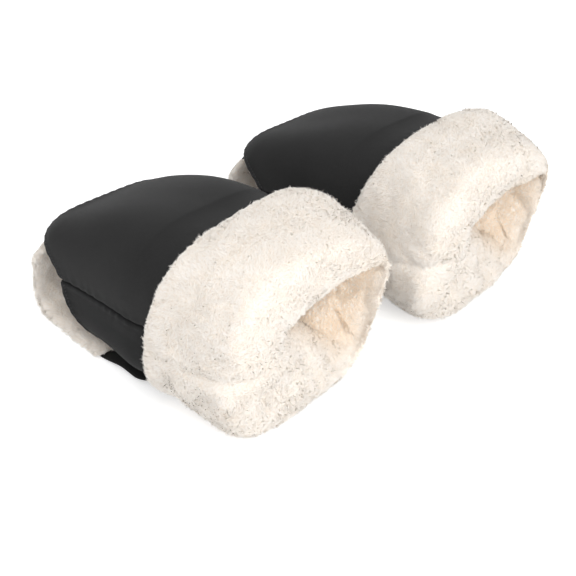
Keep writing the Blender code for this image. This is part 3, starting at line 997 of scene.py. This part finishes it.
def build_cuff(side, sign, material, seed):
    """The cuff's cloth, and how deep in the mouth each point of its grid lies."""
    back = section_ring(LAYERS_END + 0.0025, even(0.0035))
    foot = section_ring(LAYERS_END + 0.0015, even(-0.0008))
    control = cuff_points()
    slopes = np.gradient(control, axis=0)
    fine = smooth_line(control, slopes, np.ones(len(control) - 1), 10)
    grid = resample(fine, np.linspace(0.0, 1.0, CUFF_STEPS))
    grid = np.concatenate([grid, [back, foot]])
    rows = len(grid)

    lip_row = np.linalg.norm(grid - around(CUFF_DEGREES, MOUTH_EDGE)[None], axis=2).argmin(axis=0)
    past_lip = (np.arange(rows)[:, None] - lip_row[None, :]) / 12.0
    depth = ease(past_lip, -0.6, 1.0)
    relief = cuff_relief(grid, sign, past_lip, depth, seed)
    grid = grid + closed_normals(grid) * relief[..., None]
    grid[..., 2] = np.maximum(grid[..., 2], CUFF_LOWEST)

    points = to_world(grid, sign).reshape(-1, 3)
    last = grid_faces(2, CUFF_ANGLES, close=True)
    last = np.where(last >= CUFF_ANGLES, last - CUFF_ANGLES, last + (rows - 1) * CUFF_ANGLES)
    faces = np.concatenate([grid_faces(rows, CUFF_ANGLES, close=True), last])
    cuff = new_piece(
        f"{side}_cuff_cloth", points, [outward(faces, points)], material, f"{side}_muff", "fleece"
    )
    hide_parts(f"{side}_cuff")
    steps = np.repeat(np.arange(rows), CUFF_ANGLES)
    puff(cuff, np.nonzero((steps < 3) | (steps > CUFF_STEPS - 10))[0])
    return cuff, depth


def puff(thing, pinned):
    """Blows a closed piece up as cloth: pinned points stay, the others move up to a limit."""
    scene = bpy.context.scene
    group = thing.vertex_groups.new(name="pinned")
    group.add([int(i) for i in pinned], 1.0, "REPLACE")
    cloth = thing.modifiers.new("cloth", "CLOTH")
    settings = cloth.settings
    settings.quality = 4
    settings.mass = 0.3
    settings.tension_stiffness = 12
    settings.compression_stiffness = 12
    settings.shear_stiffness = 5
    settings.bending_stiffness = 0.4
    settings.use_pressure = True
    settings.uniform_pressure_force = 4.0
    settings.vertex_group_mass = group.name
    settings.effector_weights.gravity = 0.0
    cloth.collision_settings.use_collision = False
    cloth.collision_settings.use_self_collision = False
    cloth.point_cache.frame_start = 1
    cloth.point_cache.frame_end = PUFF_FRAMES
    for frame_number in range(1, PUFF_FRAMES + 1):
        scene.frame_set(frame_number)
    before = read_vectors(thing.data.vertices, "co")
    posed = thing.evaluated_get(bpy.context.evaluated_depsgraph_get()).to_mesh()
    move = read_vectors(posed.vertices, "co") - before
    thing.modifiers.remove(cloth)
    scene.frame_set(1)
    size = np.linalg.norm(move, axis=1, keepdims=True)
    move *= np.tanh(size / PUFF_MOST) * PUFF_MOST / np.maximum(size, 1e-9)
    move[pinned] = 0.0
    thing.data.vertices.foreach_set("co", (before + move).reshape(-1))
    thing.vertex_groups.clear()
    thing.data.update()


def cuff_pile(side, cuff, depth, material, seed):
    """The cuff's long pile, combed back over the outside and thinner on the front face."""
    rows = len(depth)
    grid = read_vectors(cuff.data.vertices, "co").astype(float).reshape(rows, CUFF_ANGLES, 3)
    steps = np.arange(rows)[:, None] * np.ones((1, CUFF_ANGLES))
    comb = unit(np.gradient(grid, axis=0)) * mix(-1.1, 0.0, ease(steps, 4, 22))[..., None]
    covered = (steps >= 1) & (steps < CUFF_STEPS)
    low = ease(grid[..., 2], -0.002, 0.02)
    front = ease(grid[..., 1], BACK_Y - 0.272, BACK_Y - 0.284) * (1 - depth)
    weight = covered * (0.35 + 0.65 * low) * (1 - 0.25 * depth) * (1 - 0.35 * front)
    grow = 1.0 + 0.30 * (1 - ease(steps, 3, 12))
    pile(
        f"{side}_cuff_pile", cuff, grid_faces(rows, CUFF_ANGLES, close=True),
        (weight, comb, depth, grow), CUFF_STRANDS, PILE_LENGTH, seed, f"{side}_muff", material,
    )


# ---- pile

def pile(name, thing, quads, coat, count, length, seed, body, material, sheet=None):
    """Pile on some faces of a piece, as curved ribbed fibres that gather in small clumps.

    The coat is four values per point of the piece: how densely the fibres stand, which way they
    lie, how deep they are in the mouth (which shortens them and tints them with painted shade),
    and how long they are. Where the piece lies on a sheet, sheet is the direction away from it and
    the height over it, and no fibre goes below it.
    """
    rng = np.random.default_rng(seed)
    points, normals = (
        read_vectors(thing.data.vertices, kind).astype(float) for kind in ("co", "normal")
    )
    weight, comb, depth, grow = (
        values.reshape((len(points),) + shape) for values, shape in zip(coat, ((), (3,), (), ()))
    )
    triangles = np.concatenate([quads[:, [0, 1, 2]], quads[:, [0, 2, 3]]])
    a, b, c = (points[triangles[:, k]] for k in range(3))
    area = np.linalg.norm(np.cross(b - a, c - a), axis=1) / 2 * weight[triangles].mean(axis=1)
    chosen = rng.choice(len(triangles), size=count, p=area / area.sum())
    u, v = rng.random(count), rng.random(count)
    flip = u + v > 1
    u[flip], v[flip] = 1 - u[flip], 1 - v[flip]
    parts = np.stack([1 - u - v, u, v], 1)
    corners = triangles[chosen]

    def at(values):
        """Values per point, read off at the fibres' roots."""
        picked = values[corners]
        return (picked * parts[(...,) + (None,) * (picked.ndim - 2)]).sum(1)

    # Each fibre lies over along the comb, with a swirl, some scatter and a few strays
    root, up, deep, longer = at(points), unit(at(normals)), at(depth), at(grow)
    swirl = sum(
        ripple(root, wavelength, seed + number, 3) * share
        for number, (wavelength, share) in enumerate(PILE_SWIRLS, 1)
    )
    flat = at(comb) + swirl
    flat -= up * (flat * up).sum(1, keepdims=True)
    scatter = rng.normal(size=(count, 3))
    scatter -= up * (scatter * up).sum(1, keepdims=True) * 0.7
    stray = (rng.random(count) < STRAY_SHARE)[:, None] * 1.0
    flat = unit(flat + scatter * PILE_SCATTER)
    lock = np.clip((longer - 1.0) / 0.3, 0.0, 1.0)[:, None]
    first = unit(up * (0.27 + 0.30 * stray + 0.08 * lock) + flat * 0.80)
    second = unit(up * (0.08 + 0.36 * stray) + flat + scatter * (0.20 + 0.30 * stray))
    size = length * (rng.uniform(*PILE_SIZES, count) * (1 - 0.25 * deep) * longer)[:, None]
    middle = root + first * size * 0.5
    tip = middle + second * size * 0.55

    # Its tip leans to that of the clump's leader, most of all where the fibres are longest
    clumps = count // STRANDS_A_CLUMP
    tree = KDTree(clumps)
    leaders = rng.choice(count, clumps, replace=False)
    for i, leader in enumerate(leaders):
        tree.insert(root[leader], i)
    tree.balance()
    own = leaders[[tree.find(place)[1] for place in root]]
    pull = rng.uniform(0.0, CLUMP_PULL, count)[:, None] * (1 - 0.5 * stray) + LOCK_PULL * lock
    tip = mix(tip, tip[own], pull)
    middle = mix(middle, middle[own], pull * 0.3)
    if sheet is not None:
        away, height = unit(at(sheet[0])), at(sheet[1])
        for place in (middle, tip):
            over = ((place - root) * away).sum(1) + height
            place += away * np.maximum(PILE_ROOT - over, 0.0)[:, None]
    middle[:, 2] = np.maximum(middle[:, 2], 0.0006)
    tip[:, 2] = np.maximum(tip[:, 2], 0.0004)

    # Seven points: two rings of left side, ridge and right side, and the tip
    share = rng.uniform(*PILE_WIDTHS, count)[:, None]
    width, rise = PILE_WIDTH * share / 2, PILE_RIDGE * share
    twist = rng.normal(size=(count, 1)) * 0.15
    verts, shade = [], []
    for place, run, taper, lean in (
        (root - up * PILE_ROOT, unit(middle - root), 1.0, 0.0),
        (middle, unit(tip - middle), PILE_TAPER, 0.2),
    ):
        across = unit(np.cross(run, up))
        across = unit(across + np.cross(run, across) * twist)
        top = unit(np.cross(across, run))
        verts += [
            place - across * width * taper, place + top * rise * taper,
            place + across * width * taper,
        ]
        ridge = unit(up + lean * top)
        shade += [unit(up - PILE_ROUND * across), ridge, unit(up + PILE_ROUND * across)]
    verts = np.stack(verts + [tip], 1)
    shade = np.stack(shade + [ridge], 1)
    tone = np.ones((count, 7, 4), np.float32)
    tone[..., 0] = (0.0, 0.0, 0.0, 0.5, 0.5, 0.5, 1.0)
    tone[..., 1] = rng.random(count)[:, None]
    # Blue carries the depth in the mouth, which the material turns into painted shade
    tone[..., 2] = deep[:, None]

    pieces = []
    chunks = np.array_split(np.arange(count), math.ceil(count / STRANDS_A_PIECE))
    for number, part in enumerate(chunks, 1):
        base = (np.arange(len(part)) * 7)[:, None]
        faces = [base + corner for corner in ((0, 1, 4, 3), (1, 2, 5, 4), (3, 4, 6), (4, 5, 6))]
        piece = new_piece(f"{name}_{number}", verts[part], faces, material, None, "fleece")
        layer = piece.data.color_attributes.new("tone", "FLOAT_COLOR", "POINT")
        layer.data.foreach_set("color", tone[part].reshape(-1))
        piece.data.normals_split_custom_set_from_vertices(shade[part].reshape(-1, 3).tolist())
        if body:
            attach(piece, body)
        pieces.append(piece)
    return pieces


# ---- padding inside

def padding_layer(side, sign, layer, upper, material, seed):
    """Half of the wadding or lining: a soft, closed pad with rounded rims."""
    is_wadding = layer == "wadding"
    shares, alongs, off_back, off_seam = panel_places(PAD_GRID, upper, PAD_RIM, PADDING_BACK)
    outer, inner = (
        half_grid(alongs, shares, upper, padding_inset(layer, share, upper))
        for share in ((0.30, 0.92) if is_wadding else (0.0, 0.66))
    )
    round_off = 1 - np.sqrt(np.clip(off_back / 0.004, 0.0, 1.0))
    round_off = np.maximum(round_off, 1 - ease(off_seam, -0.001, 0.0015) - 0.2)
    closing = (np.clip(round_off, 0.0, 1.0) * 0.42)[..., None]
    soft = ripple(to_world(inner, sign), 0.030, seed) * 0.06 * ease(off_back, 0.0, 0.02)
    across = inner - outer
    outer, inner = outer + across * closing, inner - across * (closing + np.abs(soft)[..., None])
    node = f"{side}_{layer}_{'top' if upper else 'bottom'}"
    pad = new_layer(
        f"{node}_pad", outer, inner, sign, material, f"{side}_muff",
        "wadding" if is_wadding else "fleece", node,
    )
    return pad


def lining_pile(side, pad, upper, material, seed):
    """Pile on the lining's inner face, densest where the mouth and the passage show it."""
    rows, columns = PAD_GRID
    size = rows * columns
    place = np.tile(np.repeat(np.linspace(0.0, 1.0, rows), columns), 2)
    weight = 0.25 + 1.2 * ease(place, 0.5, 0.9) + 2.2 * (1 - ease(place, 0.0, 0.25))
    comb = np.tile([0.0, -0.4, 0.0], (2 * size, 1))
    # Depth shortens these fibres and also darkens them with painted shade
    depth = 0.45 + 0.55 * ease(place, 0.0, 0.9)
    pile(
        f"{side}_lining_{'top' if upper else 'bottom'}_pile", pad,
        grid_faces(rows, columns, size), (weight, comb, depth, np.ones(2 * size)),
        LINING_STRANDS, SHORT_PILE_LENGTH, seed, f"{side}_muff", material,
    )


# ---- flap

def flap_line():
    """The flap's outer face in profile, as the CAD has it."""
    route = np.array(FLAP_ROUTE)
    knots = lengths(route)
    slopes = np.gradient(route, knots, axis=0)
    for i, level in enumerate(np.diff(route, axis=0) == 0):
        slopes[i:i + 2, level] = 0.0
    return smooth_line(route, slopes, np.diff(knots), 12)


def flap_grid(first, last, depth, side_room, rows, columns):
    """A surface of the flap between two lengths down it.

    Gives its points, its inward normals, each row's length down the flap, and the flap's length.
    """
    line = flap_line()
    knots = lengths(line)
    down = np.linspace(first, min(last, knots[-1]), rows)
    run = unit(read_off(down, knots, np.gradient(line, knots, axis=0)))
    inward = np.stack([-run[:, 1], run[:, 0]], 1)
    place = read_off(down, knots, line) + inward * depth
    half = mix(FLAP_TOP_HALF_WIDTH, FLAP_HALF_WIDTH, ease(down, 0.0, FLAP_WIDENING))
    half = half - rounding(knots[-1] - down, FLAP_CORNER) - side_room
    points = np.empty((rows, columns, 3))
    points[..., 0] = half[:, None] * np.linspace(-1.0, 1.0, columns)[None, :]
    points[..., 1:] = place[:, None]
    normals = np.zeros_like(points)
    normals[..., 1:] = inward[:, None]
    return points, normals, down, knots[-1]


def flap_cloth(side, sign, shell, seed):
    """The flap's outer cloth with a hem, the cloth's area, and the lines to stitch."""
    points, inward, down, length = flap_grid(0.0, 1.0, 0.0, 0.0, *FLAP_GRID)
    off_side = np.abs(points[:, -1, 0])[:, None] - np.abs(points[..., 0])
    off_end = np.minimum(off_side, (length - down)[:, None])
    lift = -0.0006 * (1 - ease(off_end, HEM - 0.0013, HEM)) * ease(off_end, 0.0, 0.0012)
    lift = lift * (points[..., 2] > 0.016)
    lumps = np.abs(ripple(to_world(points, sign), 0.05, seed))
    lift -= 0.0010 * lumps * ease(points[..., 2], 0.02, 0.05)
    outer = points + inward * lift[..., None]
    inner = points + inward * CLOTH * 0.9
    cloth = new_layer(
        f"{side}_flap_cloth", outer, inner, sign, shell, None, "shell", f"{side}_flap_shell",
        grid_uv(points),
    )
    columns = [int(FLAP_GRID[1] * share) for share in (0.045, 0.955)]
    return cloth, grid_area(outer), [(outer[6:, j], -inward[6:, j]) for j in columns]


def flap_lining(side, sign, fleece, fibres, seed):
    """The flap's plush lining, and the pieces of its pile."""
    rows, columns = FLEECE_GRID
    first, last = FLAP_FLEECE_SPAN
    lies_at = CLOTH + GAP
    low = flap_grid(first, last, lies_at, FLAP_FLEECE_INSET, rows, columns)[0]
    high, up, at, _ = flap_grid(
        first, last, lies_at + FLAP_FLEECE, FLAP_FLEECE_INSET, rows, columns
    )
    rim = np.abs(high[:, -1, 0])[:, None] - np.abs(high[..., 0])
    rim = np.minimum(rim, np.minimum(at - first, last - at)[:, None])
    sink = 1 - np.sqrt(np.clip(rim / 0.004, 0.0, 1.0))
    soft = np.abs(ripple(to_world(high, sign), 0.028, seed + 3)) * 0.0009
    sunk = sink * FLAP_FLEECE * 0.55 + soft
    high = high - up * sunk[..., None]
    lining = new_layer(
        f"{side}_flap_lining", low, high, sign, fleece, None, "fleece", f"{side}_flap_fleece"
    )
    fringe = np.tile(np.exp(-rim.reshape(-1) / 0.005), 2)
    outwards = np.tile(np.sign(high[..., 0]).reshape(-1), 2)
    comb = np.stack([outwards * fringe * 2.5, 1.0 - fringe, np.full(len(fringe), -0.6)], 1)
    coat = (1.0 + 2.5 * fringe, comb, np.zeros(len(fringe)), 1.0 + 0.9 * fringe)
    faces = layer_faces(rows, columns)
    face_count = (rows - 1) * (columns - 1)
    furred = np.concatenate([faces[face_count:2 * face_count], faces[-2 * (rows - 1):]])
    away = np.tile((up * [1.0, -1.0, 1.0]).reshape(-1, 3), (2, 1))
    height = np.concatenate([np.zeros(rows * columns), (FLAP_FLEECE - sunk).reshape(-1)])
    tufts = pile(
        f"{side}_flap_pile", lining, furred, coat, FLAP_STRANDS, SHORT_PILE_LENGTH, seed + 5,
        None, fibres, (away, height),
    )
    return lining, tufts


def build_flap(side, sign, shell, fleece, fibres, threads, seed):
    """The flap's cloth, lining, pile and stitches."""
    cloth, area, lines = flap_cloth(side, sign, shell, seed)
    lining, tufts = flap_lining(side, sign, fleece, fibres, seed)
    stitching = stitches(f"{side}_flap_stitches", lines, sign, threads, None)
    for piece in (cloth, lining, stitching, *tufts):
        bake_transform(piece)


def grid_area(points):
    """The area of a grid of points, by two triangles to each quad."""
    corner, across, down = points[:-1, :-1], points[:-1, 1:], points[1:, :-1]
    last = points[1:, 1:]
    halves = (np.cross(down - corner, across - down), np.cross(down - last, across - last))
    return sum(np.linalg.norm(half, axis=2) for half in halves).sum() / 2


# ---- snaps

def fix_normals(thing):
    """Turns a closed piece's faces outward and keeps its edges sharp."""
    mesh = bmesh.new()
    mesh.from_mesh(thing.data)
    bmesh.ops.recalc_face_normals(mesh, faces=mesh.faces)
    mesh.to_mesh(thing.data)
    mesh.free()
    thing.data.shade_smooth()
    thing.data.set_sharp_from_angle(angle=math.radians(35))


def turned(name, profile, place, material, body, slot, node, sides=56):
    """A solid turned about Z from a closed profile of radii and heights."""
    points, rings = [], []
    for radius, height in profile:
        count = 1 if radius == 0.0 else sides
        turn = 2 * math.pi * np.arange(count) / count
        rings.append((sum(len(p) for p in points), count))
        points.append(np.stack(
            [radius * np.cos(turn), radius * np.sin(turn), np.full(count, height)], 1
        ))
    pairs = list(zip(rings, rings[1:]))
    if rings[0][1] > 1:
        pairs.append((rings[-1], rings[0]))
    quads, tris = [], []
    i = np.arange(sides)
    j = (i + 1) % sides
    for (a, na), (b, nb) in pairs:
        if na == 1:
            tris.append(np.stack([np.full(sides, a), b + i, b + j], 1))
        elif nb == 1:
            tris.append(np.stack([a + j, a + i, np.full(sides, b)], 1))
        else:
            quads.append(np.stack([a + i, b + i, b + j, a + j], 1))
    faces = [np.concatenate(part) for part in (quads, tris) if part]
    piece = new_piece(name, np.concatenate(points) + place, faces, material, None, slot)
    fix_normals(piece)
    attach(piece, body)
    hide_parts(node)


def snap_profile(kind, radius, tall):
    """A snap part's profile: pairs of radius and height over its lowest point."""
    if kind == "cap":
        return (
            (0.0, 0.00035), (radius * 0.36, 0.00035), (radius * 0.42, 0.00012),
            (radius * 0.50, 0.0), (radius * 0.78, 0.00008), (radius * 0.93, 0.00040),
            (radius, 0.00085), (radius * 0.99, 0.00125), (radius * 0.95, CAP_RIM),
            (POST_RADIUS, CAP_RIM), (POST_RADIUS, tall), (0.0, tall),
        )
    if kind == "socket":
        return (
            (BORE_RADIUS, 0.0), (radius * 0.94, 0.0), (radius, 0.00025), (radius, 0.0006),
            (radius * 0.90, 0.0009), (radius * 0.86, tall - 0.0003), (radius * 0.82, tall),
            (radius * 0.76, tall), (radius * 0.71, tall - 0.0002), (radius * 0.72, 0.0009),
            (radius * 0.70, 0.0005), (BORE_RADIUS, 0.0005),
        )
    if kind == "stud":
        return (
            (0.0, tall), (radius * 0.92, tall), (radius, tall - 0.0002),
            (radius, tall - 0.0006), (radius * 0.90, tall - 0.0008),
            (radius * 0.46, tall - 0.0008), (radius * 0.36, tall - 0.0011),
            (radius * 0.37, 0.0008), (radius * 0.415, 0.0005), (radius * 0.40, 0.0002),
            (radius * 0.32, 0.0), (radius * 0.10, 0.0), (0.0, 0.0003),
        )
    return (
        (0.0, 0.0), (POST_RADIUS, 0.0), (POST_RADIUS, tall - 0.0008),
        (radius * 0.95, tall - 0.0008), (radius, tall - 0.0005), (radius * 0.97, tall - 0.0002),
        (radius * 0.5, tall), (0.0, tall - 0.0001),
    )


def build_snaps(side, plastic, metal):
    """Detailed caps, sockets, studs and plates in place of the CAD's plain ones."""
    for number in (1, 2):
        for kind, body, material, slot in (
            ("cap", "flap", plastic, "snap"), ("socket", "flap", metal, "snap_metal"),
            ("stud", "muff", metal, "snap_metal"), ("plate", "muff", metal, "snap_metal"),
        ):
            node = f"{side}_snap_{kind}_{number}"
            low, high = (np.array(corner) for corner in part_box(node))
            x, y, _ = (low + high) / 2
            profile = snap_profile(kind, (high[0] - low[0]) / 2, high[2] - low[2])
            turned(
                f"{node}_part", profile, (x, y, low[2]), material, f"{side}_{body}", slot, node
            )


# ---- floor, light, camera

def place_thing(name, data, right, up, away, place):
    """An object with its axes along right, up and away, at its place."""
    thing = bpy.data.objects.new(name, data)
    thing.matrix_world = Matrix(np.stack([right, up, away, place], 1).tolist()).to_4x4()
    bpy.context.scene.collection.objects.link(thing)
    return thing


def lamp(name, place, size, power):
    light = bpy.data.lights.new(name, "AREA")
    light.shape = "DISK"
    light.size = size
    light.energy = power
    away = unit(np.array(place) - LAMP_TARGET)
    right = unit(np.cross([0.0, 0.0, 1.0], away))
    place_thing(name, light, right, np.cross(away, right), away, place)


def set_stage():
    reach = FLOOR_REACH
    points = [(-reach, -reach, 0), (reach, -reach, 0), (reach, reach, 0), (-reach, reach, 0)]
    floor = new_piece("floor", points, [np.array([[0, 1, 2, 3]])], floor_material(), None, None)
    floor.location.z = FLOOR_Z

    world = bpy.data.worlds.new("studio")
    bpy.context.scene.world = world
    n = Nodes(world)
    plain = n.tree.nodes["Background"]
    n.put(plain.inputs["Color"], (*WHITE, 1.0))
    n.put(plain.inputs["Strength"], WORLD_LIGHT)
    seen = n.add("Background", Color=(*WHITE, 1.0), Strength=1.0)
    choice = n.add("MixShader")
    for socket, value in zip(choice.inputs, (n.seen(), plain.outputs[0], seen.outputs[0])):
        n.put(socket, value)
    n.put(n.tree.nodes["World Output"].inputs["Surface"], choice.outputs[0])
    for name, place, size, power in LAMPS:
        lamp(name, place, size, power)


def set_camera():
    camera = bpy.data.cameras.new("camera")
    camera.lens = CAMERA_LENS
    camera.sensor_width = 36.0
    camera.clip_start = 0.01
    away = np.cross(CAMERA_RIGHT, CAMERA_UP)
    bpy.context.scene.camera = place_thing(
        "camera", camera, CAMERA_RIGHT, CAMERA_UP, away, CAMERA_PLACE
    )


# ---- all of it

def main():
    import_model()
    bpy.context.scene.view_settings.view_transform = "Standard"
    set_stage()
    set_camera()

    shell = softshell("softshell", SHELL)
    lower = softshell("softshell_lower", LOWER_SHELL)
    fleece = knit_backing("plush_backing", FLEECE)
    fibres = plush("plush_pile", FIBRE_ROOT_PAINTED_SHADE, FIBRE_TIP, FIBRE_PAINTED_SHADE)
    wadding = wool("wadding", WADDING)
    threads = thread("black_thread", THREAD)
    plastic = moulded("snap_plastic", SNAP)
    metal = nickel("snap_nickel", SNAP_METAL)

    for side, sign, seed in SIDES:
        for upper in (True, False):
            hem = shell_panel(side, sign, upper, shell if upper else lower, seed + upper)
            stitches(
                f"{side}_{'skirt' if upper else 'underside'}_stitches", [hem], sign, threads,
                f"{side}_muff",
            )
            padding_layer(side, sign, "wadding", upper, wadding, seed + 2)
            pad = padding_layer(side, sign, "lining", upper, fleece, seed + 3)
            lining_pile(side, pad, upper, fibres, seed + 4 + upper)
        cuff, depth = build_cuff(side, sign, fleece, seed + 7)
        cuff_pile(side, cuff, depth, fibres, seed + 9)
        build_flap(side, sign, shell, fleece, fibres, threads, seed + 20)
        build_snaps(side, plastic, metal)


main()
